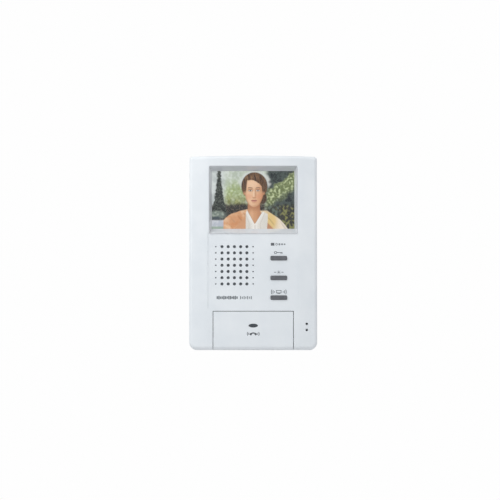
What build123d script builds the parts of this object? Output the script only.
from build123d import *
import os
from math import cos, radians, sin, tan

# Wall-mounted video intercom monitor: a moulded white case that hangs on a steel wall bracket, with a
# colour screen above, a speaker grille and three keys in the middle, and a wide hinged talk key below.
#
# Row frame, in millimetres: +X to the right as seen from the room, +Z up, and the room is on the -Y side.
# The origin is on the wall plane, at the centre of the bracket's screw pattern and of the case. Every
# "depth" below is a distance from the wall towards the room, so a point at depth d has Y = -d.

# ---- Case shell ------------------------------------------------------------------------------------
CASE_W = 115.0          # overall width
CASE_H = 175.0          # overall height
CASE_DEPTH = 30.0       # wall to the flat centre of the face
WALL = 2.2              # front case wall
PART_LINE = 8.0         # depth where the front case ends and the rear case begins
TOP_BOW = 0.9           # rise of the arched top edge
TOP_CORNER_R = 2.5
BOTTOM_CORNER_R = 6.5
EDGE_R = 3.0            # rounding between the face and the sides
FLANK_SLOPE = 5.0       # degrees that each side strip of the face falls back
FLANK_BLEND_R = 20.0    # softening of the crease between centre and side strip
PANEL_SINK = 0.35       # how far the speaker and key panel lies below the face
PANEL_CORNER_R = 0.8
PANEL_MARGIN = 1.0      # panel wider than the bezel on each side
SHARP_R = 1.2           # smallest corner radius of an inner outline
FIT = 0.1               # clearance of pieces that are pushed together
GAP = 0.2               # clearance of pieces that move in an opening

# ---- Screen ----------------------------------------------------------------------------------------
SCREEN_W = 74.4         # visible picture
SCREEN_H = 52.4
BEVEL_X = 2.7           # width of the sloping bezel wall at the sides
BEVEL_TOP = 4.2         # above the picture
BEVEL_FOOT = 5.0        # and below it
BEZEL_DEPTH = 6.0       # face to window
BEZEL_RIM = 0.35        # flat rim in the face
BEZEL_FLANGE = 2.0      # flange behind the case wall
BEZEL_CORNER_R = 1.2
SCREEN_TOP_GAP = 9.4    # top of the case to the bezel
WINDOW_T = 1.5
WINDOW_LAP = 1.6        # window beyond the picture, where it is taped to the bezel
LCD_GASKET_T = 0.5
LCD_BORDER = 2.6        # glass beyond the picture
LCD_GLASS_T = 1.4
LCD_LIP = 0.4           # thickness of the metal frame
LIGHT_GUIDE_T = 3.4
HOLDER_T = 1.4
HOLDER_EAR_STEP = 23.4  # centre of the picture to the ears
HOLDER_RIM = 7.0        # width of the holder's frame behind the backlight

# ---- Speaker ---------------------------------------------------------------------------------------
GRILLE_PITCH = 5.6
GRILLE_COLUMNS = 5      # full-size columns, with a column of small holes on each side
GRILLE_ROWS = 7
GRILLE_R = 1.4
GRILLE_SIDE_R = 0.65
GRILLE_X = -16.9        # centre of the grille from the case's centre line
GRILLE_DROP = 28.35     # bezel's lower edge to the centre of the grille
SPEAKER_R = 20.0
SPEAKER_FLANGE = 2.6    # width of the flange
SPEAKER_MESH_T = 0.2
SPEAKER_GASKET_T = 1.0
SPEAKER_SHEET = 0.8     # sheet thickness of the basket
SPEAKER_BASKET_H = 6.6
SPEAKER_BACK_R = 11.0
MAGNET_R = 10.0
MAGNET_T = 4.6
SPEAKER_CLAMP_R = 3.6   # washer radius
COIL_R = 5.2            # voice coil
TAB_W = 7.0             # terminal tab on the basket
TAB_H = 1.4
TAB_T = 3.0
SPEAKER_POST_GAP = 2.4  # from the speaker's rim to the centres of its screws

# ---- Keys ------------------------------------------------------------------------------------------
KEY_X = 23.0            # centre of the key column
KEY_DROP = 21.9         # bezel's lower edge to the first key
KEY_PITCH = 17.8
KEY_W = 14.6
KEY_H = 3.7
KEY_PROUD = 0.9         # height of a key above the panel
KEY_CORNER_R = 0.9
KEY_EDGE_R = 0.35
KEY_FLANGE = 1.3        # flange around the key behind the wall
KEY_FLANGE_T = 1.0
KEY_STEM_R = 1.3
KEY_TRAVEL = 0.5
STATUS_X = 17.4         # status light window
STATUS_DROP = 9.4
STATUS_W = 3.0
STATUS_H = 2.4
STATUS_FLANGE = 0.8

# ---- Talk key --------------------------------------------------------------------------------------
TALK_W = 71.7
TALK_H = 34.0           # case's lower edge to the key's upper edge
TALK_GAP = 0.55         # gap around the key
TALK_WALL = 2.0
TALK_RIB = 1.2
TALK_RIB_DEPTH = 4.6    # how far the stiffening ribs reach behind the face
TALK_SKIRT = 7.0        # how far the lower edge wraps under the case
TALK_AXIS_DROP = 4.0    # key's upper edge to its hinge axis
TALK_AXIS_SETBACK = 5.4 # face to the hinge axis
TALK_PIN_R = 1.2
TALK_PIN_FIT = 0.08     # radial running clearance in the ears
TALK_EAR_T = 2.0        # case ears that carry the pins
TALK_EAR_GAP = 1.0      # case opening to the ear
TALK_SWING = 1.6        # degrees
TALK_POST_DROP = 14.5   # hinge axis to the post that works the switch
TALK_POST_R = 1.6
TALK_LENS_W = 8.4
TALK_LENS_H = 3.4
TALK_LENS_DROP = 12.65  # key's upper edge to the lens
TALK_LENS_T = 6.0
TALK_STOP_DROP = 25.5   # key's upper edge to its stop tabs
TALK_STOP_W = 2.0

# ---- Switches and boards ---------------------------------------------------------------------------
SWITCH_W = 6.0          # tact switch body
SWITCH_T = 3.5
PLUNGER_R = 1.7
PLUNGER_PROUD = 0.8
PLUNGER_T = 2.6
BOARD_T = 1.6
BOARD_EDGE_GAP = 2.0    # case wall to board edge
KEY_BOARD_SETBACK = 6.8 # inner face of the case to the key board
MAIN_BOARD_DEPTH = 11.0 # wall to the back of the main board
POST_R = 2.6
POST_HOLE_R = 1.05
SCREW_R = 1.0
SCREW_HEAD_R = 2.1
SCREW_HEAD_T = 1.6
SCREW_BITE = 6.0
CROSS_W = 0.5           # cross recess in a screw head
CROSS_DEPTH = 0.7

# ---- Microphone ------------------------------------------------------------------------------------
MIC_INSET = 9.4         # case side to the microphone
MIC_RISE = 20.2         # case's lower edge to the microphone
MIC_HOLE_R = 1.15
MIC_HOLE_PITCH = 5.4
MIC_R = 3.0
MIC_T = 2.7
BOOT_R = 5.2
BOOT_T = 4.6
RING_WALL = 1.2

# ---- Side controls ---------------------------------------------------------------------------------
SIDE_POCKET = 1.4       # finger pocket in the right side wall
SIDE_POCKET_H = 9.0     # its size across the depth
SIDE_WALL = 2.0         # wall behind the pocket
WHEEL_R = 6.5
WHEEL_T = 2.4
WHEEL_SHY = 0.1         # wheel rim below the case's side
WHEEL_NOTCHES = 32
WHEEL_NOTCH_R = 0.35
WHEEL_Z = 35.0
WHEEL_POCKET_L = 20.0
POT_W = 6.0
POT_H = 8.0
POT_T = 2.3
HUB_R = 1.5
HUB_FIT = 0.06
SLIDER_Z = 6.0
SLIDER_POCKET_L = 16.0
SLIDER_TRAVEL = 2.0
SLIDER_FOOT = 3.0
SLIDER_FOOT_L = 4.0
SLIDER_STEM = 2.0
SLIDER_TIP_W = 5.0
SLIDER_TIP_L = 4.0
SLIDER_SHY = 0.3
SLIDE_SWITCH_W = 4.4
SLIDE_SWITCH_T = 5.4

# ---- Rear case -------------------------------------------------------------------------------------
REAR_INSET = 1.2        # step from the front case's side to the rear case's side
REAR_WALL = 2.0
REAR_EDGE = 0.8
LIP_T = 1.4
LIP_H = 2.5
BRACKET_POCKET = 4.4    # depth of the pocket that hides the bracket
BAY_W = 48.0            # wiring bay
BAY_H = 32.0
BAY_DEPTH = 8.4
BAY_WALL = 1.5
SCREW_BOSS_R = 4.2
CASE_SCREW_R = 1.45
CASE_SCREW_HOLE_R = 1.6
CASE_SCREW_HEAD_R = 2.8
CASE_SCREW_HEAD_T = 2.0
CASE_SCREW_SINK = 5.0
CASE_SCREW_BITE = 10.0
CASE_SCREW_INSET = 7.5
CASE_POST_R = 3.2
VENT_W = 1.8
VENT_L = 9.0
VENT_PITCH = 4.4
VENTS = 13

# ---- Wall bracket ----------------------------------------------------------------------------------
BRACKET_W = 76.0
BRACKET_H = 112.0
BRACKET_T = 1.2
BRACKET_CORNER_R = 4.0
BRACKET_WINDOW_W = 50.0
BRACKET_WINDOW_H = 38.0
BOX_SCREW_PITCH = 83.5  # single-gang box, upright
SIDE_SCREW_PITCH = 60.3 # box with its screws at the sides
WALL_SCREW_R = 2.2
WALL_SLOT = 8.0         # end-to-end length of the screw slots
HOOK_X = 27.0
HOOK_Z = 40.0
HOOK_W = 8.0
HOOK_T = 1.2
HOOK_LIP = 4.0          # how far a hook reaches up behind the case
POCKET_GAP = 1.0        # around the plate, in the case's pocket
HOOK_SLACK = 0.4        # case wall to the hook's lip
LIFT = 4.5              # travel that frees the case from the hooks

# ---- Parts on the boards ---------------------------------------------------------------------------
TERMINALS = 6
TERMINAL_PITCH = 5.0
TERMINAL_H = 10.0
TERMINAL_PROUD = 6.8
TERMINAL_SCREW_R = 1.6
TERMINAL_ENTRY_W = 3.4
TERMINAL_ENTRY_H = 2.6
CAGE_WALL = 0.4
LEAD_R = 0.55
LEAD_PITCH = 2.0
LEAD_BEND_R = 2.6
LEAD_DROP = 2.6         # sideways step of a lead on its way down to the main board
PLUG_W = 6.4
PLUG_L = 4.5
PLUG_T = 3.2
RIBBON_W = 16.0
RIBBON_T = 0.3
RIBBON_BEND_R = 1.4
RIBBON_X = -2.0
RIBBON_RUN = 3.6        # height of each of its bends
RIBBON_SOCKET_H = 4.0
RIBBON_SOCKET_T = 2.2
CHIP_T = 1.4
CAPACITOR_R = 4.0
CAPACITOR_L = 10.5
COIL_W = 12.0
COIL_H = 14.0
COIL_T = 9.5
LED_T = 1.4
LENS_GAP = 0.3          # LED to its window or light guide
LINK_PINS = 8
LINK_PITCH = 2.54
LINK_PIN = 0.32         # half the side of a pin
LINK_PROUD = 0.8

# ---- Places worked out from the sizes above --------------------------------------------------------
HALF_W = CASE_W / 2
TOP = CASE_H / 2
BOTTOM = -CASE_H / 2
INNER = CASE_DEPTH - WALL
PANEL = CASE_DEPTH - PANEL_SINK
IN_WALL = INNER + WALL / 4               # where posts end, inside the wall
BEZEL_W = SCREEN_W + 2 * BEVEL_X
BEZEL_H = SCREEN_H + BEVEL_TOP + BEVEL_FOOT
BEZEL_Z = TOP - SCREEN_TOP_GAP - BEZEL_H / 2
FLANK_X = BEZEL_W / 2 + PANEL_MARGIN + 0.7  # crease between the centre of the face and its sides
SCREEN_Z = BEZEL_Z - BEZEL_H / 2 + BEVEL_FOOT + SCREEN_H / 2
BEZEL_FOOT = BEZEL_Z - BEZEL_H / 2
BEZEL_BACK = CASE_DEPTH - BEZEL_DEPTH
FLANGE_FRONT = INNER - FIT - BEZEL_FLANGE * tan(radians(FLANK_SLOPE))
WINDOW_BACK = BEZEL_BACK - WINDOW_T
LCD_FRONT = WINDOW_BACK - LCD_GASKET_T
GLASS_FRONT = LCD_FRONT - LCD_LIP
GLASS_BACK = GLASS_FRONT - LCD_GLASS_T
GUIDE_BACK = GLASS_BACK - LIGHT_GUIDE_T
HOLDER_FRONT = GUIDE_BACK
HOLDER_BACK = HOLDER_FRONT - HOLDER_T
LCD_FOOT = SCREEN_Z - SCREEN_H / 2 - LCD_BORDER - LCD_LIP
GLASS_W = SCREEN_W + 2 * LCD_BORDER
GLASS_H = SCREEN_H + 2 * LCD_BORDER
GRILLE_Z = BEZEL_FOOT - GRILLE_DROP
KEY_ZS = [BEZEL_FOOT - KEY_DROP - KEY_PITCH * row for row in range(3)]
STATUS_Z = BEZEL_FOOT - STATUS_DROP
TALK_TOP = BOTTOM + TALK_H
PANEL_FOOT = TALK_TOP + 2.8
TALK_AXIS_Z = TALK_TOP - TALK_AXIS_DROP
TALK_AXIS_DEPTH = CASE_DEPTH - TALK_AXIS_SETBACK
TALK_POST_Z = TALK_AXIS_Z - TALK_POST_DROP
TALK_LENS_Z = TALK_TOP - TALK_LENS_DROP
KEY_BOARD_FRONT = INNER - KEY_BOARD_SETBACK
KEY_BOARD_BACK = KEY_BOARD_FRONT - BOARD_T
SWITCH_TOP = KEY_BOARD_FRONT + SWITCH_T
PLUNGER_TOP = SWITCH_TOP + PLUNGER_PROUD
MAIN_BACK = MAIN_BOARD_DEPTH
MAIN_FRONT = MAIN_BACK + BOARD_T
BOARD_HALF_W = HALF_W - WALL - BOARD_EDGE_GAP
BOARD_TOP = TOP - 15.5
BOARD_FOOT = BOTTOM + 17.5
MIC_X = HALF_W - MIC_INSET
MIC_Z = BOTTOM + MIC_RISE
MIC_WALL = INNER - (MIC_X - FLANK_X) * tan(radians(FLANK_SLOPE))
BOOT_FRONT = MIC_WALL - BOOT_R * tan(radians(FLANK_SLOPE)) - FIT
BOOT_BACK = BOOT_FRONT - BOOT_T
CASE_SCREWS = [
    (side * (HALF_W - CASE_SCREW_INSET), end * (TOP - CASE_SCREW_INSET - 1.0))
    for side in (-1, 1)
    for end in (-1, 1)
]
HOLDER_EAR_X = HALF_W - 10.0
HOLDER_EARS = [
    (side * HOLDER_EAR_X, SCREEN_Z + end * HOLDER_EAR_STEP) for side in (-1, 1) for end in (-1, 1)
]
MAIN_POST_X = HALF_W - 8.5
MAIN_POSTS = [
    (-MAIN_POST_X, SCREEN_Z),
    (MAIN_POST_X, SCREEN_Z),
    (-MAIN_POST_X, BOARD_FOOT + 8.0),
    (MAIN_POST_X, BOARD_FOOT + 18.0),
]
KEY_POSTS = [
    (KEY_X - 11.5, BEZEL_FOOT - 11.4),
    (KEY_X + 17.5, BEZEL_FOOT - 11.4),
    (KEY_X + 17.5, TALK_TOP + 7.5),
    (-TALK_W / 2 + 6.0, TALK_TOP + 4.6),
    (KEY_X + 18.5, BOTTOM + 11.5),
]
SPEAKER_SEAT = INNER - SPEAKER_MESH_T - SPEAKER_GASKET_T   # room side of the speaker's flange
SPEAKER_BACK = SPEAKER_SEAT - SPEAKER_BASKET_H
CONE_R = SPEAKER_R - SPEAKER_FLANGE      # opening of the basket
NECK_R = SPEAKER_BACK_R - 3.4            # hole in its back
SPEAKER_POSTS = [
    (
        GRILLE_X + (SPEAKER_R + SPEAKER_POST_GAP) * cos(radians(angle)),
        GRILLE_Z + (SPEAKER_R + SPEAKER_POST_GAP) * sin(radians(angle)),
    )
    for angle in (22, 158, 270)
]
SIDE_FLOOR = HALF_W - SIDE_POCKET        # bottom of the finger pockets
SIDE_INNER = SIDE_FLOOR - SIDE_WALL
WHEEL_X = HALF_W - WHEEL_SHY - WHEEL_R
WHEEL_BACK = MAIN_FRONT + POT_T + GAP
WHEEL_MIDDLE = WHEEL_BACK + WHEEL_T / 2
SLIDE_SWITCH_X = SIDE_INNER - 1.1 - SLIDE_SWITCH_W / 2
POCKET_WALL = BRACKET_POCKET + REAR_WALL # depth of the rear wall's inner face over the bracket
BAY_FLOOR = BAY_DEPTH + BAY_WALL
TERMINAL_W = TERMINALS * TERMINAL_PITCH + 2.0
TERMINAL_Z = -BAY_H / 2 + TERMINAL_H / 2 + 1.2
TERMINAL_BACK = MAIN_BACK - TERMINAL_PROUD
TERMINAL_XS = [TERMINAL_PITCH * (pole - (TERMINALS - 1) / 2) for pole in range(TERMINALS)]
HOOK_REACH = POCKET_WALL + HOOK_SLACK + HOOK_T
POCKET_W = BRACKET_W + 2 * POCKET_GAP
POCKET_H = BRACKET_H + LIFT + 2 * POCKET_GAP
POCKET_Z = -LIFT / 2                     # the pocket is deeper below, where the case rises past the plate
KEY_BOARD_LEFT = KEY_X - 15.0
KEY_BOARD_RIGHT = KEY_X + 21.5
KEY_BOARD_FAR = -TALK_W / 2
KEY_BOARD_TOP = BEZEL_FOOT - 4.0
KEY_BOARD_STEP = TALK_TOP + 8.5
KEY_BOARD_FOOT = BOTTOM + 7.5
LINK_XS = [KEY_X + LINK_PITCH * (pin - (LINK_PINS - 1) / 2) for pin in range(LINK_PINS)]
LINK_Z = TALK_TOP - 10.5
CLOTH_HALF = GRILLE_PITCH * (GRILLE_ROWS - 1) / 2 + GRILLE_R + 0.3
CLAMP_SEAT = SPEAKER_SEAT - 2 * SPEAKER_SHEET
TAB_Z = GRILLE_Z + CONE_R + SPEAKER_SHEET + TAB_H / 2 + FIT / 2
TAB_BACK = SPEAKER_SEAT - SPEAKER_SHEET - TAB_T
IN_TALK = CASE_DEPTH - 3 * TALK_WALL / 4 # where ribs end, inside the talk key's face
TALK_PIN_END = TALK_W / 2 + TALK_GAP + TALK_EAR_GAP + TALK_EAR_T - FIT
TERMINAL_SCREW_Z = TERMINAL_Z + TERMINAL_H / 2 - 0.35 * TERMINAL_H
CAPACITORS = [(-MAIN_POST_X + 4.0, z) for z in (-8.0, -18.0, -28.0)]
LINE_COIL = (-MAIN_POST_X + 5.5, -42.0)
LEAD_DEPTH = MAIN_FRONT + PLUG_T / 2     # where the leads enter their plugs
SPEAKER_PLUG_Z = TAB_Z + 2 * LEAD_DROP + PLUG_L / 2
MIC_PLUG_Z = MIC_Z + 2 * LEAD_DROP + PLUG_L / 2
SOCKET_Z = LCD_FOOT - 2 * RIBBON_RUN - RIBBON_SOCKET_H / 2


# ---- Shared shapes ---------------------------------------------------------------------------------
def layer(depth):
    """The plane at a depth from the wall: sketch x is +X, sketch y is +Z, extruding goes to the room."""
    return Plane.XZ.offset(depth)


def spindle(x, z):
    """A plane through an axis that points to the room: sketch x is the radius, sketch y the depth."""
    return Plane(origin=(x, 0, z), x_dir=(1, 0, 0), z_dir=(0, 0, -1))


def case_outline(inset):
    """The case seen from the room, with an arched top and rounder lower corners, shrunk by inset."""
    half = HALF_W - inset
    shoulder = TOP - TOP_BOW - inset
    foot = BOTTOM + inset
    with BuildSketch() as outline:
        with BuildLine():
            Polyline((-half, shoulder), (-half, foot), (half, foot), (half, shoulder))
            ThreePointArc((half, shoulder), (0, shoulder + TOP_BOW), (-half, shoulder))
        make_face()
        fillet(outline.vertices().group_by(Axis.Y)[0], max(BOTTOM_CORNER_R - inset, SHARP_R))
        fillet(outline.vertices().group_by(Axis.Y)[-1], max(TOP_CORNER_R - inset, SHARP_R))
    return outline.sketch


def case_form(inset, back):
    """The case's outer shape from a depth to the face, shrunk by inset: flat centre, falling sides."""
    front = CASE_DEPTH - inset
    reach = HALF_W + 5.0
    rim = front - (reach - FLANK_X) * tan(radians(FLANK_SLOPE))
    with BuildPart() as form:
        with BuildSketch(layer(back)):
            add(case_outline(inset))
        extrude(amount=front - back)
        with BuildSketch(Plane.XY.offset(BOTTOM - 1)) as section:
            with BuildLine():
                Polyline(
                    (-reach, -back),
                    (-reach, -rim),
                    (-FLANK_X, -front),
                    (FLANK_X, -front),
                    (reach, -rim),
                    (reach, -back),
                    close=True,
                )
            make_face()
            fillet(section.vertices().group_by(Axis.Y)[0], FLANK_BLEND_R)
        extrude(amount=CASE_H + 2, mode=Mode.INTERSECT)
        if EDGE_R > inset:
            near_rim = HALF_W - inset - EDGE_R
            near_ends = TOP - inset - BOTTOM_CORNER_R - TOP_BOW
            face_edges = form.edges().filter_by(
                lambda edge: edge.center().Y < -rim + 0.5
                and (abs(edge.center().X) > near_rim or abs(edge.center().Z) > near_ends)
            )
            fillet(face_edges, EDGE_R - inset)
    return form.part


def screws(points, seat, bite=SCREW_BITE, r=SCREW_R, head_r=SCREW_HEAD_R, head_t=SCREW_HEAD_T):
    """Pan-head screws driven towards the room, with their heads behind the depth of their seat."""
    with BuildPart() as made:
        with BuildSketch(layer(seat - head_t)):
            with Locations(*points):
                Circle(head_r)
        extrude(amount=head_t)
        heads = made.faces().filter_by(Axis.Y).group_by(Axis.Y)[-1]
        fillet(heads.edges(), head_t / 4)
        with BuildSketch(layer(seat)):
            with Locations(*points):
                Circle(r)
        extrude(amount=bite)
        chamfer(made.faces().filter_by(Axis.Y).group_by(Axis.Y)[0].edges(), r / 2)
        with BuildSketch(layer(seat - head_t)):
            with Locations(*points):
                Rectangle(CROSS_W, 1.3 * head_r)
                Rectangle(1.3 * head_r, CROSS_W)
        extrude(amount=CROSS_DEPTH, mode=Mode.SUBTRACT)
    return made.part


def wires(routes):
    """Round insulated wires, one for each route of points."""
    with BuildPart() as made:
        for route in routes:
            with BuildLine():
                path = FilletPolyline(*route, radius=LEAD_BEND_R)
            with BuildSketch(Plane(origin=path @ 0, z_dir=path % 0)):
                Circle(LEAD_R)
            sweep(path=path)
    return made.part


# ---- Front case: one moulding with the openings, posts and ears ------------------------------------
with BuildPart() as front_case:
    add(case_form(0, PART_LINE))
    add(case_form(WALL, PART_LINE - 1), mode=Mode.SUBTRACT)
    # Posts for the display holder, the two boards, the speaker and the case screws.
    for points, end, radius in (
        (HOLDER_EARS, HOLDER_FRONT, POST_R),
        (MAIN_POSTS, MAIN_FRONT, POST_R),
        (KEY_POSTS, KEY_BOARD_FRONT, POST_R - 0.2),
        (SPEAKER_POSTS, SPEAKER_SEAT - SPEAKER_SHEET, POST_R - 0.4),
        (CASE_SCREWS, PART_LINE + FIT, CASE_POST_R),
    ):
        with BuildSketch(layer(end)):
            with Locations(*points):
                Circle(radius)
        extrude(amount=IN_WALL - end)
    # Seat for the microphone boot.
    with BuildSketch(layer(BOOT_BACK + 1.0)):
        with Locations((MIC_X, MIC_Z)):
            Circle(BOOT_R + FIT + RING_WALL)
            Circle(BOOT_R + FIT, mode=Mode.SUBTRACT)
    extrude(amount=MIC_WALL + 0.9 - (BOOT_BACK + 1.0))
    # The right side wall is thicker behind the finger pockets.
    pockets = ((WHEEL_Z, WHEEL_POCKET_L), (SLIDER_Z, SLIDER_POCKET_L))
    for z, length in pockets:
        with BuildSketch(Plane.YZ.offset(SIDE_INNER)):
            with Locations((-WHEEL_MIDDLE, z)):
                Rectangle(SIDE_POCKET_H + 2, length + 2)
        extrude(amount=HALF_W - WALL / 2 - SIDE_INNER)
    # Ears that carry the talk key's pins.
    for side in (-1, 1):
        ear_x = side * (TALK_W / 2 + TALK_GAP + TALK_EAR_GAP + TALK_EAR_T / 2)
        with BuildSketch(Plane.YZ.offset(ear_x)):
            with Locations((-TALK_AXIS_DEPTH, TALK_AXIS_Z)):
                Circle(2.2 * TALK_PIN_R)
            with Locations((-(TALK_AXIS_DEPTH + IN_WALL) / 2, TALK_AXIS_Z)):
                Rectangle(IN_WALL - TALK_AXIS_DEPTH, 4.4 * TALK_PIN_R)
        extrude(amount=TALK_EAR_T / 2, both=True)
    # Sunk panel, bezel opening, key and light openings.
    with BuildSketch(layer(PANEL)):
        with Locations((0, (BEZEL_FOOT + 1 + PANEL_FOOT) / 2)):
            RectangleRounded(BEZEL_W + 2 * PANEL_MARGIN, BEZEL_FOOT + 1 - PANEL_FOOT, PANEL_CORNER_R)
    extrude(amount=PANEL_SINK + 1, mode=Mode.SUBTRACT)
    with BuildSketch(layer(INNER - 1)):
        with Locations((0, BEZEL_Z)):
            RectangleRounded(BEZEL_W + 2 * FIT, BEZEL_H + 2 * FIT, BEZEL_CORNER_R + FIT)
        with Locations(*[(KEY_X, z) for z in KEY_ZS]):
            RectangleRounded(KEY_W + 2 * GAP, KEY_H + 2 * GAP, KEY_CORNER_R + GAP)
        with Locations((STATUS_X, STATUS_Z)):
            Rectangle(STATUS_W + FIT, STATUS_H + FIT)
    extrude(amount=WALL + 2, mode=Mode.SUBTRACT)
    # Speaker grille and microphone holes.
    with BuildSketch(layer(INNER - 1)):
        with Locations((GRILLE_X, GRILLE_Z)):
            with GridLocations(GRILLE_PITCH, GRILLE_PITCH, GRILLE_COLUMNS, GRILLE_ROWS):
                Circle(GRILLE_R)
            with GridLocations(GRILLE_PITCH * (GRILLE_COLUMNS + 1), GRILLE_PITCH, 2, GRILLE_ROWS):
                Circle(GRILLE_SIDE_R)
    extrude(amount=WALL + 2, mode=Mode.SUBTRACT)
    with BuildSketch(layer(MIC_WALL - 1)):
        with Locations((MIC_X, MIC_Z)):
            with GridLocations(1, MIC_HOLE_PITCH, 1, 2):
                Circle(MIC_HOLE_R)
    extrude(amount=WALL + 2, mode=Mode.SUBTRACT)
    # Talk key opening, which runs out through the lower edge of the case.
    talk_notch = CASE_DEPTH - TALK_SKIRT - 1.4
    with BuildSketch(layer(talk_notch)):
        with Locations((0, BOTTOM - 5)):
            Rectangle(TALK_W + 2 * TALK_GAP, TALK_H + TALK_GAP + 5, align=(Align.CENTER, Align.MIN))
    extrude(amount=CASE_DEPTH, mode=Mode.SUBTRACT)
    # Finger pockets and slots for the side controls.
    for z, length in pockets:
        with BuildSketch(Plane.YZ.offset(SIDE_FLOOR)):
            with Locations((-WHEEL_MIDDLE, z)):
                RectangleRounded(SIDE_POCKET_H, length, SIDE_POCKET_H / 2.2)
        extrude(amount=SIDE_POCKET + 1, mode=Mode.SUBTRACT)
    for z, width, length in (
        (WHEEL_Z, WHEEL_T + 4 * GAP, 2 * WHEEL_R),
        (SLIDER_Z, SLIDER_STEM + 2 * GAP, SLIDER_STEM + 2 * SLIDER_TRAVEL + 2 * GAP),
    ):
        with BuildSketch(Plane.YZ.offset(SIDE_INNER - 1)):
            with Locations((-WHEEL_MIDDLE, z)):
                Rectangle(width, length)
        extrude(amount=HALF_W + 1 - SIDE_INNER, mode=Mode.SUBTRACT)
    # Blind screw holes in the posts, and the pin holes in the ears.
    for points, end, radius, bite in (
        (HOLDER_EARS, HOLDER_FRONT, POST_HOLE_R, SCREW_BITE),
        (MAIN_POSTS, MAIN_FRONT, POST_HOLE_R, SCREW_BITE),
        (KEY_POSTS, KEY_BOARD_FRONT, POST_HOLE_R, SCREW_BITE),
        (SPEAKER_POSTS, SPEAKER_SEAT - SPEAKER_SHEET, POST_HOLE_R, IN_WALL - SPEAKER_SEAT),
        (CASE_SCREWS, PART_LINE + FIT, CASE_SCREW_R + FIT / 2, CASE_SCREW_BITE),
    ):
        with BuildSketch(layer(end)):
            with Locations(*points):
                Circle(radius)
        extrude(amount=bite + 0.5, mode=Mode.SUBTRACT)
    with BuildSketch(Plane.YZ):
        with Locations((-TALK_AXIS_DEPTH, TALK_AXIS_Z)):
            Circle(TALK_PIN_R + TALK_PIN_FIT)
    extrude(amount=TALK_W / 2 + TALK_GAP + TALK_EAR_GAP + TALK_EAR_T + 1, both=True, mode=Mode.SUBTRACT)
    # Cooling slots in the upper and lower side walls.
    for z in (BOTTOM + WALL / 2, TOP - WALL / 2):
        with BuildSketch(Plane.XY.offset(z)):
            with Locations((0, -(PART_LINE + 3.0 + VENT_L / 2))):
                with GridLocations(VENT_PITCH, 1, VENTS, 1):
                    SlotOverall(VENT_L, VENT_W, rotation=90)
        extrude(amount=WALL, both=True, mode=Mode.SUBTRACT)

# ---- Rear case: side wall with a lip, pocket for the bracket, wiring bay, screw bosses --------------
with BuildPart() as rear_case:
    with BuildSketch(layer(0)):
        add(case_outline(REAR_INSET))
    extrude(amount=PART_LINE)
    chamfer(rear_case.faces().filter_by(Axis.Y).group_by(Axis.Y)[-1].edges(), REAR_EDGE)
    with BuildSketch(layer(REAR_WALL)):
        add(case_outline(WALL + FIT + LIP_T))
    extrude(amount=PART_LINE, mode=Mode.SUBTRACT)
    with BuildSketch(layer(PART_LINE)):
        add(case_outline(WALL + FIT))
        add(case_outline(WALL + FIT + LIP_T), mode=Mode.SUBTRACT)
    extrude(amount=LIP_H)
    # Raised floor over the bracket, and the deeper wiring bay in the middle of it.
    with BuildSketch(layer(0)):
        with Locations((0, POCKET_Z)):
            RectangleRounded(POCKET_W + 2 * REAR_WALL, POCKET_H + 2 * REAR_WALL, BRACKET_CORNER_R)
    extrude(amount=POCKET_WALL)
    with BuildSketch(layer(REAR_WALL)):
        Rectangle(BAY_W + 2 * BAY_WALL, BAY_H + 2 * BAY_WALL)
    extrude(amount=BAY_FLOOR - REAR_WALL)
    with BuildSketch(layer(0)):
        with Locations(*CASE_SCREWS):
            Circle(SCREW_BOSS_R)
    extrude(amount=PART_LINE)
    with BuildSketch(layer(-1)):
        with Locations((0, POCKET_Z)):
            RectangleRounded(POCKET_W, POCKET_H, BRACKET_CORNER_R)
    extrude(amount=BRACKET_POCKET + 1, mode=Mode.SUBTRACT)
    with BuildSketch(layer(-1)):
        Rectangle(BAY_W, BAY_H)
    extrude(amount=BAY_DEPTH + 1, mode=Mode.SUBTRACT)
    with BuildSketch(layer(0)):
        with Locations((0, TERMINAL_Z)):
            Rectangle(TERMINAL_W + 4 * GAP, TERMINAL_H + 4 * GAP)
    extrude(amount=BAY_FLOOR + 1, mode=Mode.SUBTRACT)
    # Slots that drop over the bracket's hooks: the upper edge of each slot rests on its hook.
    with BuildSketch(layer(0)):
        for side in (-1, 1):
            for end in (-1, 1):
                with Locations((side * HOOK_X, end * HOOK_Z + GAP / 2)):
                    slot_height = GAP / 2 + HOOK_T + LIFT + 4 * GAP
                    Rectangle(HOOK_W + 6 * GAP, slot_height, align=(Align.CENTER, Align.MAX))
    extrude(amount=PART_LINE, mode=Mode.SUBTRACT)
    # Counterbored holes for the case screws.
    with BuildSketch(layer(-1)):
        with Locations(*CASE_SCREWS):
            Circle(CASE_SCREW_HEAD_R + 2 * GAP)
    extrude(amount=CASE_SCREW_SINK + 1, mode=Mode.SUBTRACT)
    with BuildSketch(layer(0)):
        with Locations(*CASE_SCREWS):
            Circle(CASE_SCREW_HOLE_R)
    extrude(amount=PART_LINE + 1, mode=Mode.SUBTRACT)

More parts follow.
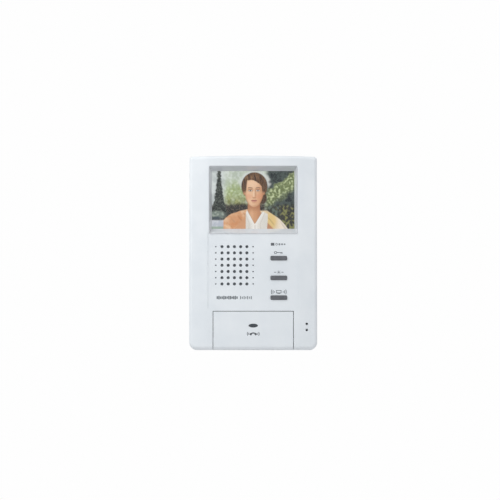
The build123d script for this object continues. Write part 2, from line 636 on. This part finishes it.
# ---- Wall bracket: pressed steel plate with four hooks ----------------------------------------------
with BuildPart() as wall_bracket:
    with BuildSketch(layer(0)):
        RectangleRounded(BRACKET_W, BRACKET_H, BRACKET_CORNER_R)
        RectangleRounded(BRACKET_WINDOW_W, BRACKET_WINDOW_H, BRACKET_CORNER_R / 2, mode=Mode.SUBTRACT)
        with GridLocations(1, BOX_SCREW_PITCH, 1, 2):
            SlotOverall(WALL_SLOT, 2 * WALL_SCREW_R, rotation=90, mode=Mode.SUBTRACT)
        with GridLocations(SIDE_SCREW_PITCH, 1, 2, 1):
            SlotOverall(WALL_SLOT, 2 * WALL_SCREW_R, mode=Mode.SUBTRACT)
        # The openings that the hooks leave where they are cut and bent out of the plate.
        for side in (-1, 1):
            for end in (-1, 1):
                with Locations((side * HOOK_X, end * HOOK_Z)):
                    opening = HOOK_REACH + HOOK_LIP
                    Rectangle(HOOK_W + 1.0, opening, align=(Align.CENTER, Align.MIN), mode=Mode.SUBTRACT)
    extrude(amount=BRACKET_T)
    for side in (-1, 1):
        with BuildSketch(Plane.YZ.offset(side * HOOK_X - HOOK_W / 2)):
            for foot in (-HOOK_Z, HOOK_Z):
                with BuildLine():
                    Polyline(
                        (-BRACKET_T, foot - HOOK_T),
                        (-HOOK_REACH, foot - HOOK_T),
                        (-HOOK_REACH, foot + HOOK_LIP),
                        (-HOOK_REACH + HOOK_T, foot + HOOK_LIP),
                        (-HOOK_REACH + HOOK_T, foot),
                        (-BRACKET_T, foot),
                        close=True,
                    )
                make_face()
        extrude(amount=HOOK_W)

# ---- Screen ----------------------------------------------------------------------------------------
with BuildPart() as screen_bezel:
    with BuildSketch(layer(BEZEL_BACK)):
        with Locations((0, BEZEL_Z)):
            RectangleRounded(BEZEL_W, BEZEL_H, BEZEL_CORNER_R)
    extrude(amount=BEZEL_DEPTH)
    with BuildSketch(layer(FLANGE_FRONT - BEZEL_FLANGE)):
        with Locations((0, BEZEL_Z)):
            RectangleRounded(BEZEL_W + 2 * BEZEL_FLANGE, BEZEL_H + 2 * BEZEL_FLANGE, BEZEL_CORNER_R)
    extrude(amount=BEZEL_FLANGE)
    with BuildSketch(layer(BEZEL_BACK)):
        with Locations((0, SCREEN_Z)):
            Rectangle(SCREEN_W, SCREEN_H)
    with BuildSketch(layer(CASE_DEPTH)):
        with Locations((0, BEZEL_Z)):
            Rectangle(BEZEL_W - 2 * BEZEL_RIM, BEZEL_H - 2 * BEZEL_RIM)
    loft(mode=Mode.SUBTRACT)

with BuildPart() as window_lens:
    with BuildSketch(layer(WINDOW_BACK)):
        with Locations((0, SCREEN_Z)):
            RectangleRounded(SCREEN_W + 2 * WINDOW_LAP, SCREEN_H + 2 * WINDOW_LAP, FIT * 5)
    extrude(amount=WINDOW_T)

with BuildPart() as lcd_gasket:
    with BuildSketch(layer(LCD_FRONT)):
        with Locations((0, SCREEN_Z)):
            Rectangle(SCREEN_W + 2 * WINDOW_LAP, SCREEN_H + 2 * WINDOW_LAP)
            Rectangle(SCREEN_W + WINDOW_LAP / 2, SCREEN_H + WINDOW_LAP / 2, mode=Mode.SUBTRACT)
    extrude(amount=LCD_GASKET_T)

with BuildPart() as lcd_panel:
    with BuildSketch(layer(GLASS_BACK)):
        with Locations((0, SCREEN_Z)):
            Rectangle(GLASS_W, GLASS_H)
    extrude(amount=LCD_GLASS_T)

with BuildPart() as backlight_unit:
    with BuildSketch(layer(GUIDE_BACK)):
        with Locations((0, SCREEN_Z)):
            RectangleRounded(GLASS_W, GLASS_H, BEZEL_CORNER_R)
    extrude(amount=LIGHT_GUIDE_T)

with BuildPart() as lcd_frame:
    with BuildSketch(layer(GUIDE_BACK)):
        with Locations((0, SCREEN_Z)):
            Rectangle(GLASS_W + 2 * LCD_LIP, GLASS_H + 2 * LCD_LIP)
    extrude(amount=LCD_FRONT - GUIDE_BACK)
    with BuildSketch(layer(GUIDE_BACK)):
        with Locations((0, SCREEN_Z)):
            Rectangle(GLASS_W, GLASS_H)
    extrude(amount=GLASS_FRONT - GUIDE_BACK, mode=Mode.SUBTRACT)
    with BuildSketch(layer(GLASS_FRONT)):
        with Locations((0, SCREEN_Z)):
            Rectangle(SCREEN_W + WINDOW_LAP / 2, SCREEN_H + WINDOW_LAP / 2)
    extrude(amount=LCD_LIP + 1, mode=Mode.SUBTRACT)

with BuildPart() as lcd_holder:
    with BuildSketch(layer(HOLDER_BACK)) as holder_face:
        with Locations((0, SCREEN_Z)):
            RectangleRounded(GLASS_W + 2 * LCD_LIP, GLASS_H + 2 * LCD_LIP, BEZEL_CORNER_R)
        with Locations(*HOLDER_EARS):
            Circle(POST_R + 0.8)
        with Locations((0, HOLDER_EARS[0][1]), (0, HOLDER_EARS[1][1])):
            Rectangle(2 * HOLDER_EAR_X, 2 * POST_R)
        with Locations((0, SCREEN_Z)):
            RectangleRounded(GLASS_W - 2 * HOLDER_RIM, GLASS_H - 2 * HOLDER_RIM, 3.0, mode=Mode.SUBTRACT)
        with Locations(*HOLDER_EARS):
            Circle(SCREW_R + FIT, mode=Mode.SUBTRACT)
    extrude(amount=HOLDER_T)

# ---- Boards ----------------------------------------------------------------------------------------
with BuildPart() as main_board:
    with BuildSketch(layer(MAIN_BACK)) as main_outline:
        with Locations((0, (BOARD_TOP + BOARD_FOOT) / 2)):
            RectangleRounded(2 * BOARD_HALF_W, BOARD_TOP - BOARD_FOOT, 2.0)
        with Locations(*MAIN_POSTS):
            Circle(SCREW_R + FIT, mode=Mode.SUBTRACT)
        with Locations(*[(x, LINK_Z) for x in LINK_XS]):
            Circle(LINK_PIN + FIT, mode=Mode.SUBTRACT)
    extrude(amount=BOARD_T)

with BuildPart() as key_board:
    with BuildSketch(layer(KEY_BOARD_BACK)) as key_outline:
        with BuildLine():
            Polyline(
                (KEY_BOARD_LEFT, KEY_BOARD_TOP),
                (KEY_BOARD_RIGHT, KEY_BOARD_TOP),
                (KEY_BOARD_RIGHT, KEY_BOARD_FOOT),
                (KEY_BOARD_FAR, KEY_BOARD_FOOT),
                (KEY_BOARD_FAR, KEY_BOARD_STEP),
                (KEY_BOARD_LEFT, KEY_BOARD_STEP),
                close=True,
            )
        make_face()
        fillet(key_outline.vertices(), 1.0)
        with Locations(*KEY_POSTS):
            Circle(SCREW_R + FIT, mode=Mode.SUBTRACT)
        with Locations(*[(x, LINK_Z) for x in LINK_XS]):
            Circle(LINK_PIN + FIT, mode=Mode.SUBTRACT)
    extrude(amount=BOARD_T)

with BuildPart() as link_header:
    with BuildSketch(layer(MAIN_FRONT)):
        with Locations(((LINK_XS[0] + LINK_XS[-1]) / 2, LINK_Z)):
            Rectangle(LINK_XS[-1] - LINK_XS[0] + LINK_PITCH, LINK_PITCH)
        with Locations(*[(x, LINK_Z) for x in LINK_XS]):
            Rectangle(2 * LINK_PIN, 2 * LINK_PIN, mode=Mode.SUBTRACT)
    extrude(amount=KEY_BOARD_BACK - MAIN_FRONT)

with BuildPart() as link_pins:
    with BuildSketch(layer(MAIN_BACK - LINK_PROUD)):
        with Locations(*[(x, LINK_Z) for x in LINK_XS]):
            Rectangle(2 * LINK_PIN - FIT, 2 * LINK_PIN - FIT)
    extrude(amount=KEY_BOARD_FRONT - MAIN_BACK + 2 * LINK_PROUD)

# ---- Speaker ---------------------------------------------------------------------------------------
speaker_plane = spindle(GRILLE_X, GRILLE_Z)

with BuildPart() as speaker_basket:
    with BuildSketch(speaker_plane):
        with BuildLine():
            Polyline(
                (SPEAKER_R, SPEAKER_SEAT),
                (CONE_R, SPEAKER_SEAT),
                (SPEAKER_BACK_R - SPEAKER_SHEET, SPEAKER_BACK + SPEAKER_SHEET),
                (NECK_R, SPEAKER_BACK + SPEAKER_SHEET),
                (NECK_R, SPEAKER_BACK),
                (SPEAKER_BACK_R, SPEAKER_BACK),
                (CONE_R + SPEAKER_SHEET, SPEAKER_SEAT - SPEAKER_SHEET),
                (SPEAKER_R, SPEAKER_SEAT - SPEAKER_SHEET),
                close=True,
            )
        make_face()
    revolve(axis=Axis((GRILLE_X, 0, GRILLE_Z), (0, 1, 0)))

with BuildPart() as speaker_cone:
    with BuildSketch(speaker_plane):
        with BuildLine():
            Polyline(
                (CONE_R - 0.3, SPEAKER_SEAT),
                (CONE_R - 1.0, SPEAKER_SEAT),
                (COIL_R, SPEAKER_BACK + 2.6),
                (0, SPEAKER_BACK + 3.8),
                (0, SPEAKER_BACK + 3.4),
                (COIL_R - 0.6, SPEAKER_BACK + 2.2),
                (COIL_R - 0.6, SPEAKER_BACK - 1.2),
                (COIL_R - 0.2, SPEAKER_BACK - 1.2),
                (COIL_R - 0.2, SPEAKER_BACK + 2.0),
                (CONE_R - 1.2, SPEAKER_SEAT - 0.5),
                (CONE_R - 0.8, SPEAKER_SEAT - 0.5),
                close=True,
            )
        make_face()
    revolve(axis=Axis((GRILLE_X, 0, GRILLE_Z), (0, 1, 0)))

with BuildPart() as speaker_magnet:
    with BuildSketch(speaker_plane):
        with BuildLine():
            Polyline(
                (0, SPEAKER_BACK - MAGNET_T),
                (MAGNET_R, SPEAKER_BACK - MAGNET_T),
                (MAGNET_R, SPEAKER_BACK),
                (COIL_R + 0.3, SPEAKER_BACK),
                (COIL_R + 0.3, SPEAKER_BACK - MAGNET_T + 1.4),
                (COIL_R - 0.9, SPEAKER_BACK - MAGNET_T + 1.4),
                (COIL_R - 0.9, SPEAKER_BACK + 0.4),
                (0, SPEAKER_BACK + 0.4),
                close=True,
            )
        make_face()
    revolve(axis=Axis((GRILLE_X, 0, GRILLE_Z), (0, 1, 0)))

with BuildPart() as speaker_gasket:
    with BuildSketch(layer(SPEAKER_SEAT)):
        with Locations((GRILLE_X, GRILLE_Z)):
            Circle(SPEAKER_R)
            Circle(CONE_R, mode=Mode.SUBTRACT)
    extrude(amount=SPEAKER_GASKET_T)

with BuildPart() as grille_cloth:
    with BuildSketch(layer(INNER - SPEAKER_MESH_T)):
        with Locations((GRILLE_X, GRILLE_Z)):
            RectangleRounded(2 * CLOTH_HALF, 2 * CLOTH_HALF, 2.0)
        with Locations(*SPEAKER_POSTS):
            Circle(POST_R, mode=Mode.SUBTRACT)
    extrude(amount=SPEAKER_MESH_T)

with BuildPart() as speaker_clamps:
    with BuildSketch(layer(CLAMP_SEAT)):
        with Locations(*SPEAKER_POSTS):
            Circle(SPEAKER_CLAMP_R)
            Circle(SCREW_R + FIT, mode=Mode.SUBTRACT)
    extrude(amount=SPEAKER_SHEET)

with BuildPart() as speaker_tab:
    with BuildSketch(layer(TAB_BACK)):
        with Locations((GRILLE_X, TAB_Z)):
            Rectangle(TAB_W, TAB_H)
    extrude(amount=TAB_T)

with BuildPart() as speaker_screws:
    add(screws(SPEAKER_POSTS, CLAMP_SEAT, bite=INNER - CLAMP_SEAT - FIT))

with BuildPart() as speaker_leads:
    add(
        wires(
            [
                (x, -TAB_BACK, TAB_Z),
                (x, -(LEAD_DEPTH + LEAD_DROP), TAB_Z),
                (x, -LEAD_DEPTH, TAB_Z + LEAD_DROP),
                (x, -LEAD_DEPTH, SPEAKER_PLUG_Z - PLUG_L / 2),
            ]
            for x in (GRILLE_X - LEAD_PITCH / 2, GRILLE_X + LEAD_PITCH / 2)
        )
    )

with BuildPart() as speaker_plug:
    with BuildSketch(layer(MAIN_FRONT)):
        with Locations((GRILLE_X, SPEAKER_PLUG_Z)):
            RectangleRounded(PLUG_W, PLUG_L, 0.3)
    extrude(amount=PLUG_T)

# ---- Microphone ------------------------------------------------------------------------------------
with BuildPart() as microphone_boot:
    with BuildSketch(layer(BOOT_BACK)):
        with Locations((MIC_X, MIC_Z)):
            Circle(BOOT_R)
    extrude(amount=BOOT_T)
    chamfer(microphone_boot.faces().filter_by(Axis.Y).edges(), 0.4)
    with BuildSketch(layer(BOOT_BACK)):
        with Locations((MIC_X, MIC_Z)):
            Circle(MIC_R)
    extrude(amount=MIC_T + 0.4, mode=Mode.SUBTRACT)
    with BuildSketch(layer(BOOT_BACK + BOOT_T)):
        with Locations((MIC_X, MIC_Z)):
            SlotOverall(MIC_HOLE_PITCH + 2 * MIC_HOLE_R, 2 * MIC_HOLE_R, rotation=90)
    extrude(amount=-(BOOT_T - MIC_T - 0.4), mode=Mode.SUBTRACT)

with BuildPart() as microphone:
    with BuildSketch(layer(BOOT_BACK + 0.2)):
        with Locations((MIC_X, MIC_Z)):
            Circle(MIC_R - FIT / 2)
    extrude(amount=MIC_T)
    fillet(microphone.edges(), 0.3)

with BuildPart() as microphone_leads:
    add(
        wires(
            [
                (x, -(BOOT_BACK + 0.2), MIC_Z),
                (x, -(LEAD_DEPTH + LEAD_DROP), MIC_Z),
                (x, -LEAD_DEPTH, MIC_Z + LEAD_DROP),
                (x, -LEAD_DEPTH, MIC_PLUG_Z - PLUG_L / 2),
            ]
            for x in (MIC_X - LEAD_PITCH / 2, MIC_X + LEAD_PITCH / 2)
        )
    )

with BuildPart() as microphone_plug:
    with BuildSketch(layer(MAIN_FRONT)):
        with Locations((MIC_X, MIC_PLUG_Z)):
            RectangleRounded(PLUG_W, PLUG_L, 0.3)
    extrude(amount=PLUG_T)

# ---- Display ribbon --------------------------------------------------------------------------------
with BuildPart() as lcd_ribbon:
    with BuildSketch(Plane.YZ.offset(RIBBON_X)):
        with BuildLine() as ribbon_route:
            FilletPolyline(
                (-(GUIDE_BACK + 1.6), LCD_FOOT),
                (-(GUIDE_BACK + 1.6), LCD_FOOT - RIBBON_RUN),
                (-(MAIN_FRONT + RIBBON_SOCKET_T / 2), LCD_FOOT - 1.4 * RIBBON_RUN),
                (-(MAIN_FRONT + RIBBON_SOCKET_T / 2), LCD_FOOT - 2 * RIBBON_RUN),
                radius=RIBBON_BEND_R,
            )
        trace(line_width=RIBBON_T)
    extrude(amount=RIBBON_W / 2, both=True)

with BuildPart() as lcd_socket:
    with BuildSketch(layer(MAIN_FRONT)):
        with Locations((RIBBON_X, SOCKET_Z)):
            Rectangle(RIBBON_W + 4.0, RIBBON_SOCKET_H)
    extrude(amount=RIBBON_SOCKET_T)

# ---- Parts on the main board -----------------------------------------------------------------------
with BuildPart() as chips:
    for width, height, x, z in (
        (14.0, 14.0, 8.0, -32.0),
        (9.0, 9.0, -24.0, -46.0),
        (10.5, 8.0, 20.0, 40.0),
        (5.0, 4.0, -8.0, 52.0),
    ):
        with BuildSketch(layer(MAIN_FRONT)):
            with Locations((x, z)):
                Rectangle(width, height)
        extrude(amount=CHIP_T)
    chamfer(chips.faces().filter_by(Axis.Y).group_by(Axis.Y)[0].edges(), 0.3)

with BuildPart() as capacitors:
    with BuildSketch(layer(MAIN_FRONT)):
        with Locations(*CAPACITORS):
            Circle(CAPACITOR_R)
    extrude(amount=CAPACITOR_L)
    fillet(capacitors.faces().filter_by(Axis.Y).group_by(Axis.Y)[0].edges(), 0.5)

with BuildPart() as line_coil:
    with BuildSketch(layer(MAIN_FRONT)):
        with Locations(LINE_COIL):
            RectangleRounded(COIL_W, COIL_H, 0.6)
    extrude(amount=COIL_T)
    with BuildSketch(layer(MAIN_FRONT + COIL_T / 4)):
        with Locations(LINE_COIL):
            RectangleRounded(COIL_W + 3.0, COIL_H - 5.0, 2.0)
    extrude(amount=COIL_T / 2)

# ---- Wiring terminals ------------------------------------------------------------------------------
CAGE_DEPTH = TERMINAL_BACK + 2.2         # back of the clamp cages
CAGE_W = TERMINAL_ENTRY_W - 2 * FIT
CAGE_H = TERMINAL_ENTRY_H
CAGE_L = 0.6 * TERMINAL_H
TERMINAL_TOP = TERMINAL_Z + TERMINAL_H / 2

with BuildPart() as terminal_block:
    with BuildSketch(layer(TERMINAL_BACK)):
        with Locations((0, TERMINAL_Z)):
            Rectangle(TERMINAL_W, TERMINAL_H)
    extrude(amount=TERMINAL_PROUD)
    chamfer(terminal_block.faces().filter_by(Axis.Y).group_by(Axis.Y)[-1].edges().filter_by(Axis.X), 1.2)
    with BuildSketch(Plane.XY.offset(TERMINAL_TOP - CAGE_L - 1.0)):
        with Locations(*[(x, -(CAGE_DEPTH + CAGE_H / 2)) for x in TERMINAL_XS]):
            Rectangle(TERMINAL_ENTRY_W, CAGE_H + 2 * FIT)
    extrude(amount=TERMINAL_H, mode=Mode.SUBTRACT)
    with BuildSketch(layer(TERMINAL_BACK - 1)):
        with Locations(*[(x, TERMINAL_SCREW_Z) for x in TERMINAL_XS]):
            Circle(TERMINAL_SCREW_R + FIT)
    extrude(amount=CAGE_DEPTH - TERMINAL_BACK + 1.5, mode=Mode.SUBTRACT)

with BuildPart() as terminal_cages:
    with BuildSketch(Plane.XY.offset(TERMINAL_TOP - CAGE_L - 0.6)):
        with Locations(*[(x, -(CAGE_DEPTH + CAGE_H / 2)) for x in TERMINAL_XS]):
            Rectangle(CAGE_W, CAGE_H)
            Rectangle(CAGE_W - 2 * CAGE_WALL, CAGE_H - 2 * CAGE_WALL, mode=Mode.SUBTRACT)
    extrude(amount=CAGE_L)

with BuildPart() as terminal_screws:
    with BuildSketch(layer(TERMINAL_BACK + 0.4)):
        with Locations(*[(x, TERMINAL_SCREW_Z) for x in TERMINAL_XS]):
            Circle(TERMINAL_SCREW_R)
    extrude(amount=CAGE_DEPTH - TERMINAL_BACK - 0.4)
    with BuildSketch(layer(TERMINAL_BACK + 0.4)):
        with Locations(*[(x, TERMINAL_SCREW_Z) for x in TERMINAL_XS]):
            Rectangle(CROSS_W, 2 * TERMINAL_SCREW_R + 1)
    extrude(amount=CROSS_DEPTH, mode=Mode.SUBTRACT)

# ---- Lights ----------------------------------------------------------------------------------------
with BuildPart() as status_led:
    with BuildSketch(layer(KEY_BOARD_FRONT)):
        with Locations((STATUS_X, STATUS_Z)):
            Rectangle(STATUS_W - 0.6, STATUS_H - 0.8)
    extrude(amount=LED_T)

with BuildPart() as status_lens:
    with BuildSketch(layer(KEY_BOARD_FRONT + LED_T + LENS_GAP)):
        with Locations((STATUS_X, STATUS_Z)):
            Rectangle(STATUS_W, STATUS_H)
    extrude(amount=PANEL + FIT - (KEY_BOARD_FRONT + LED_T + LENS_GAP))
    fillet(status_lens.faces().filter_by(Axis.Y).group_by(Axis.Y)[0].edges(), 0.3)
    with BuildSketch(layer(INNER - FIT / 2 - STATUS_FLANGE)):
        with Locations((STATUS_X, STATUS_Z)):
            Rectangle(STATUS_W + 2 * STATUS_FLANGE, STATUS_H + 2 * STATUS_FLANGE)
    extrude(amount=STATUS_FLANGE)

with BuildPart() as talk_led:
    with BuildSketch(layer(KEY_BOARD_FRONT)):
        with Locations((0, TALK_LENS_Z)):
            Rectangle(STATUS_W, STATUS_H - 0.4)
    extrude(amount=LED_T)

# ---- Switches under the keys -----------------------------------------------------------------------
SWITCHES = [(KEY_X, z) for z in KEY_ZS] + [(0, TALK_POST_Z)]

with BuildPart() as switch_housings:
    with BuildSketch(layer(KEY_BOARD_FRONT)):
        with Locations(*SWITCHES):
            RectangleRounded(SWITCH_W, SWITCH_W, 0.5)
    extrude(amount=SWITCH_T)
    with BuildSketch(layer(PLUNGER_TOP - PLUNGER_T - KEY_TRAVEL - GAP)):
        with Locations(*SWITCHES):
            Circle(PLUNGER_R + FIT / 2)
    extrude(amount=SWITCH_T, mode=Mode.SUBTRACT)


def plunger(x, z):
    """The plunger of one switch, standing proud of its housing."""
    with BuildPart() as made:
        with BuildSketch(layer(PLUNGER_TOP - PLUNGER_T)):
            with Locations((x, z)):
                Circle(PLUNGER_R)
        extrude(amount=PLUNGER_T)
        fillet(made.faces().filter_by(Axis.Y).group_by(Axis.Y)[0].edges(), 0.25)
    return made.part


def push_key(z):
    """One key: a cap through the panel, a flange behind it and a stem down to the switch's plunger."""
    flange_front = INNER - FIT
    with BuildPart() as made:
        with BuildSketch(layer(flange_front - KEY_FLANGE_T)):
            with Locations((KEY_X, z)):
                RectangleRounded(KEY_W, KEY_H, KEY_CORNER_R)
        extrude(amount=PANEL + KEY_PROUD - flange_front + KEY_FLANGE_T)
        fillet(made.faces().filter_by(Axis.Y).group_by(Axis.Y)[0].edges(), KEY_EDGE_R)
        with BuildSketch(layer(flange_front - KEY_FLANGE_T)):
            with Locations((KEY_X, z)):
                RectangleRounded(KEY_W + 2 * KEY_FLANGE, KEY_H + 2 * KEY_FLANGE, KEY_CORNER_R)
        extrude(amount=KEY_FLANGE_T)
        with BuildSketch(layer(PLUNGER_TOP)):
            with Locations((KEY_X, z)):
                Circle(KEY_STEM_R)
        extrude(amount=flange_front - PLUNGER_TOP)
    return made.part


with BuildPart() as release_key:
    add(push_key(KEY_ZS[0]))

with BuildPart() as release_plunger:
    add(plunger(KEY_X, KEY_ZS[0]))

with BuildPart() as option_key:
    add(push_key(KEY_ZS[1]))

with BuildPart() as option_plunger:
    add(plunger(KEY_X, KEY_ZS[1]))

with BuildPart() as monitor_key:
    add(push_key(KEY_ZS[2]))

with BuildPart() as monitor_plunger:
    add(plunger(KEY_X, KEY_ZS[2]))

with BuildPart() as talk_plunger:
    add(plunger(0, TALK_POST_Z))

# ---- Talk key: a tray that carries the face of the case, hinged near its upper edge -----------------
TALK_BACK = CASE_DEPTH - TALK_SKIRT

with BuildPart() as talk_key:
    add(case_form(0, TALK_BACK))
    with BuildSketch(layer(TALK_BACK)):
        with Locations((0, BOTTOM - 5)):
            Rectangle(TALK_W, TALK_H + 5, align=(Align.CENTER, Align.MIN))
    extrude(amount=TALK_SKIRT + 5, mode=Mode.INTERSECT)
    add(case_form(TALK_WALL, TALK_BACK - 1), mode=Mode.SUBTRACT)
    # Side and upper walls, ribs and the post for the switch.
    rib_height = IN_TALK - (CASE_DEPTH - TALK_WALL - TALK_RIB_DEPTH)
    with BuildSketch(layer(IN_TALK - rib_height)):
        for side in (-1, 1):
            with Locations((side * (TALK_W / 2 - TALK_RIB / 2), BOTTOM + TALK_WALL / 2)):
                Rectangle(TALK_RIB, TALK_H - TALK_WALL / 2, align=(Align.CENTER, Align.MIN))
            with Locations((side * TALK_W / 4, BOTTOM + TALK_WALL / 2)):
                Rectangle(TALK_RIB, TALK_H - TALK_WALL / 2, align=(Align.CENTER, Align.MIN))
        with Locations((0, TALK_TOP - TALK_RIB / 2)):
            Rectangle(TALK_W, TALK_RIB)
    extrude(amount=rib_height)
    with BuildSketch(layer(PLUNGER_TOP + FIT)):
        with Locations((0, TALK_POST_Z)):
            Circle(TALK_POST_R)
    extrude(amount=IN_TALK - PLUNGER_TOP - FIT)
    # Pins that turn in the case's ears, and tabs that stop the key behind the case wall.
    with BuildSketch(Plane.YZ):
        with Locations((-TALK_AXIS_DEPTH, TALK_AXIS_Z)):
            Circle(TALK_PIN_R)
    extrude(amount=TALK_PIN_END, both=True)
    with BuildSketch(Plane.YZ):
        with Locations((-TALK_AXIS_DEPTH, TALK_AXIS_Z)):
            Circle(2.2 * TALK_PIN_R)
    extrude(amount=TALK_W / 2 - TALK_RIB, both=True, mode=Mode.SUBTRACT)
    for side in (-1, 1):
        with BuildSketch(layer(INNER - 3 * FIT / 2 - TALK_STOP_W)):
            with Locations((side * (TALK_W / 2 + TALK_GAP + 0.4), TALK_TOP - TALK_STOP_DROP)):
                Rectangle(2 * TALK_GAP + 1.6, 2 * TALK_STOP_W)
        extrude(amount=TALK_STOP_W)
    with BuildSketch(layer(IN_TALK - 1)):
        with Locations((0, TALK_LENS_Z)):
            Ellipse(TALK_LENS_W / 2 + FIT / 2, TALK_LENS_H / 2 + FIT / 2)
    extrude(amount=CASE_DEPTH, mode=Mode.SUBTRACT)

with BuildPart() as talk_lens:
    with BuildSketch(layer(CASE_DEPTH - TALK_LENS_T)):
        with Locations((0, TALK_LENS_Z)):
            Ellipse(TALK_LENS_W / 2, TALK_LENS_H / 2)
    extrude(amount=TALK_LENS_T + FIT)
    fillet(talk_lens.faces().filter_by(Axis.Y).group_by(Axis.Y)[0].edges(), 0.3)
    with BuildSketch(layer(CASE_DEPTH - TALK_WALL - FIT / 2 - TALK_RIB)):
        with Locations((0, TALK_LENS_Z)):
            Ellipse(TALK_LENS_W / 2 + TALK_RIB, TALK_LENS_H / 2 + TALK_RIB)
    extrude(amount=TALK_RIB)

# ---- Side controls ---------------------------------------------------------------------------------
with BuildPart() as brightness_pot:
    with BuildSketch(layer(MAIN_FRONT)):
        with Locations((WHEEL_X, WHEEL_Z)):
            RectangleRounded(POT_W, POT_H, 0.4)
    extrude(amount=POT_T)
    with BuildSketch(layer(MAIN_FRONT)):
        with Locations((WHEEL_X, WHEEL_Z)):
            Circle(HUB_R)
    extrude(amount=POT_T + GAP + WHEEL_T + GAP)

with BuildPart() as brightness_wheel:
    with BuildSketch(layer(WHEEL_BACK)):
        with Locations((WHEEL_X, WHEEL_Z)):
            Circle(WHEEL_R)
            Circle(HUB_R + HUB_FIT, mode=Mode.SUBTRACT)
            with PolarLocations(WHEEL_R, WHEEL_NOTCHES):
                Circle(WHEEL_NOTCH_R, mode=Mode.SUBTRACT)
    extrude(amount=WHEEL_T)

with BuildPart() as volume_switch:
    with BuildSketch(layer(MAIN_FRONT)):
        with Locations((SLIDE_SWITCH_X, SLIDER_Z)):
            Rectangle(SLIDE_SWITCH_W, SLIDER_FOOT_L + 2 * SLIDER_TRAVEL + 3.0)
    extrude(amount=WHEEL_MIDDLE - MAIN_FRONT + SLIDE_SWITCH_T / 2)
    with BuildSketch(Plane.YZ.offset(SLIDE_SWITCH_X)):
        with Locations((-WHEEL_MIDDLE, SLIDER_Z)):
            Rectangle(SLIDER_STEM + 2 * GAP, SLIDER_FOOT_L + 2 * SLIDER_TRAVEL + 2 * GAP)
    extrude(amount=SLIDE_SWITCH_W, mode=Mode.SUBTRACT)

with BuildPart() as volume_knob:
    with BuildSketch(Plane.YZ.offset(SLIDE_SWITCH_X + GAP)):
        with Locations((-WHEEL_MIDDLE, SLIDER_Z)):
            Rectangle(SLIDER_STEM, SLIDER_STEM)
    extrude(amount=SIDE_FLOOR + GAP - SLIDE_SWITCH_X)
    with BuildSketch(Plane.YZ.offset(SIDE_INNER - GAP)):
        with Locations((-WHEEL_MIDDLE, SLIDER_Z)):
            Rectangle(SLIDER_FOOT, SLIDER_FOOT_L)
    extrude(amount=-(SIDE_INNER - SLIDE_SWITCH_X - SLIDE_SWITCH_W / 2 - 2 * GAP))
    with BuildSketch(Plane.YZ.offset(SIDE_FLOOR + GAP)):
        with Locations((-WHEEL_MIDDLE, SLIDER_Z)):
            RectangleRounded(SLIDER_TIP_W, SLIDER_TIP_L, 0.5)
    extrude(amount=SIDE_POCKET - GAP - SLIDER_SHY)
    grip = volume_knob.faces().filter_by(Axis.X).group_by(Axis.X)[-1]
    chamfer(grip.edges(), 0.3)

# ---- Screws ----------------------------------------------------------------------------------------
with BuildPart() as lcd_holder_screws:
    add(screws(HOLDER_EARS, HOLDER_BACK))

with BuildPart() as main_board_screws:
    add(screws(MAIN_POSTS, MAIN_BACK))

with BuildPart() as key_board_screws:
    add(screws(KEY_POSTS, KEY_BOARD_BACK))

with BuildPart() as case_screws:
    add(
        screws(
            CASE_SCREWS,
            CASE_SCREW_SINK,
            bite=PART_LINE - CASE_SCREW_SINK + CASE_SCREW_BITE,
            r=CASE_SCREW_R,
            head_r=CASE_SCREW_HEAD_R,
            head_t=CASE_SCREW_HEAD_T,
        )
    )

# ---- Labels and files ------------------------------------------------------------------------------
PARTS = {
    "wall_bracket": wall_bracket,
    "front_case": front_case,
    "rear_case": rear_case,
    "case_screws": case_screws,
    "screen_bezel": screen_bezel,
    "window_lens": window_lens,
    "lcd_gasket": lcd_gasket,
    "lcd_panel": lcd_panel,
    "lcd_frame": lcd_frame,
    "backlight_unit": backlight_unit,
    "lcd_holder": lcd_holder,
    "lcd_holder_screws": lcd_holder_screws,
    "lcd_ribbon": lcd_ribbon,
    "lcd_socket": lcd_socket,
    "speaker_basket": speaker_basket,
    "speaker_cone": speaker_cone,
    "speaker_magnet": speaker_magnet,
    "speaker_gasket": speaker_gasket,
    "speaker_clamps": speaker_clamps,
    "speaker_screws": speaker_screws,
    "speaker_tab": speaker_tab,
    "speaker_leads": speaker_leads,
    "speaker_plug": speaker_plug,
    "grille_cloth": grille_cloth,
    "microphone": microphone,
    "microphone_boot": microphone_boot,
    "microphone_leads": microphone_leads,
    "microphone_plug": microphone_plug,
    "main_board": main_board,
    "main_board_screws": main_board_screws,
    "key_board": key_board,
    "key_board_screws": key_board_screws,
    "link_header": link_header,
    "link_pins": link_pins,
    "chips": chips,
    "capacitors": capacitors,
    "line_coil": line_coil,
    "terminal_block": terminal_block,
    "terminal_cages": terminal_cages,
    "terminal_screws": terminal_screws,
    "status_led": status_led,
    "status_lens": status_lens,
    "talk_led": talk_led,
    "switch_housings": switch_housings,
    "release_key": release_key,
    "release_plunger": release_plunger,
    "option_key": option_key,
    "option_plunger": option_plunger,
    "monitor_key": monitor_key,
    "monitor_plunger": monitor_plunger,
    "talk_key": talk_key,
    "talk_lens": talk_lens,
    "talk_plunger": talk_plunger,
    "brightness_pot": brightness_pot,
    "brightness_wheel": brightness_wheel,
    "volume_switch": volume_switch,
    "volume_knob": volume_knob,
}

os.makedirs("parts", exist_ok=True)
for name, builder in PARTS.items():
    builder.part.label = name
    export_step(builder.part, f"parts/{name}.step")
